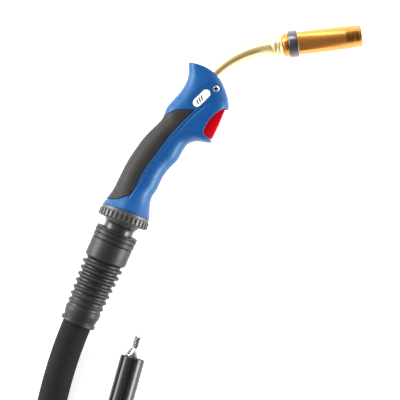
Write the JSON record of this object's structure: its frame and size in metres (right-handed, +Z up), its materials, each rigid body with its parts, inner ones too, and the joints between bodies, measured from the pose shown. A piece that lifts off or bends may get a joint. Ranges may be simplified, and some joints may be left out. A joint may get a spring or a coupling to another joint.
{
  "type": "mig welding torch",
  "caption": "Hand-held MIG welding torch with a bent brass neck, copper gas nozzle, two-shell handle with trigger, swivel kink sleeve and coiled cable.",
  "frame": {"origin": "on the surface that the torch lies on, under the middle of the torch's box without its cable", "axes": "+X along the gas nozzle towards its mouth, +Z up out of the surface (the torch's right side), +Y to the back of the torch"},
  "size_m": [0.4082, 0.8596, 0.063],
  "materials": {
    "shell_blue": "satin moulded plastic with a fine texture",
    "pad_grey": "soft moulded rubber, matt",
    "trigger_red": "glossy moulded plastic",
    "badge_white": "glossy inlay",
    "screw_steel": "bright plated steel",
    "spring_steel": "drawn steel wire",
    "brass": "polished brass",
    "copper": "turned copper with a brushed, warm sheen",
    "insulator_black": "moulded insulating plastic",
    "diffuser_ceramic": "off-white ceramic",
    "switch_black": "moulded plastic",
    "plunger_red": "moulded plastic",
    "lead_red": "insulated wire",
    "lead_green": "insulated wire",
    "ring_black": "moulded plastic, matt",
    "cup_white": "low-friction liner",
    "ball_black": "smooth moulded plastic",
    "sleeve_rubber": "matt moulded rubber",
    "hose_black": "rubber hose",
    "cable_cover": "matt cable cover",
    "tie_black": "woven hook-and-loop strap",
    "end_gloss": "glossy sleeve",
    "nickel": "nickel plated brass"
  },
  "bodies": {
    "hose_package": {"swivel_ball": "ball_black", "kink_sleeve": "sleeve_rubber", "hose_core_rear": "hose_black", "cover_ferrule": "nickel", "cable_lead": "cable_cover", "cable_coil": "cable_cover", "cable_tail": "cable_cover", "coil_tie_1": "tie_black", "coil_tie_2": "tie_black", "cover_end_cap": "ring_black", "end_sleeve": "end_gloss", "end_fitting": "nickel", "end_stud": "nickel"},
    "swivel": {"swivel_cup": "cup_white"},
    "handle": {"handle_shell_right": "shell_blue", "handle_shell_left": "shell_blue", "grip_pad_right": "pad_grey", "grip_pad_left": "pad_grey", "badge": "badge_white", "handle_screw": "screw_steel", "handle_nut": "screw_steel", "trigger_pin": "spring_steel", "trigger_spring": "spring_steel", "switch_body": "switch_black", "switch_terminal_1": "brass", "switch_terminal_2": "brass", "control_lead_1": "lead_red", "control_lead_2": "lead_green", "neck_tube": "brass", "wire_liner": "spring_steel", "neck_head": "brass", "neck_union_nut": "brass", "cable_front_fitting": "brass", "gas_diffuser": "diffuser_ceramic", "tip_holder": "brass", "contact_tip": "copper", "hose_core_front": "hose_black"},
    "locking_ring": {"locking_ring": "ring_black"},
    "trigger": {"trigger": "trigger_red"},
    "plunger": {"switch_plunger": "plunger_red"},
    "nozzle": {"gas_nozzle": "copper", "nozzle_insulator": "insulator_black", "nozzle_skirt": "copper"}
  },
  "joints": [
    {"name": "swivel_pitch", "type": "hinge", "parent": "hose_package", "child": "swivel", "pos_m": [-0.09349, -0.02744, 0.02666], "axis": [0.8918, -0.4524, 0], "range_deg": [0, 20]},
    {"name": "swivel_yaw", "type": "hinge", "parent": "swivel", "child": "handle", "pos_m": [-0.09349, -0.02744, 0.02666], "axis": [0, 0.0384, 0.9993], "range_deg": [-17, 10]},
    {"name": "locking_ring_turn", "type": "hinge", "parent": "handle", "child": "locking_ring", "pos_m": [-0.09349, -0.02744, 0.02666], "axis": [0.4524, 0.8911, -0.0342], "range_deg": [0, 60]},
    {"name": "trigger_pull", "type": "hinge", "parent": "handle", "child": "trigger", "pos_m": [0.01432, 0.06873, 0.02297], "axis": [0, -0.0384, -0.9993], "range_deg": [0, 5], "stiffness_Nm_per_rad": 1.2, "springref_deg": -2.86, "deforming": ["trigger_spring"]},
    {"name": "plunger_press", "type": "slide", "parent": "handle", "child": "plunger", "axis": [-0.8918, 0.4521, -0.0174], "range_m": [0, 0.0016]},
    {"name": "nozzle_pull", "type": "slide", "parent": "handle", "child": "nozzle", "axis": [1, 0, 0], "range_m": [0, 0.085]}
  ],
  "couplings": [
    {"joint": "plunger_press", "follows": "trigger_pull", "m_per_rad": 0.0176}
  ]
}
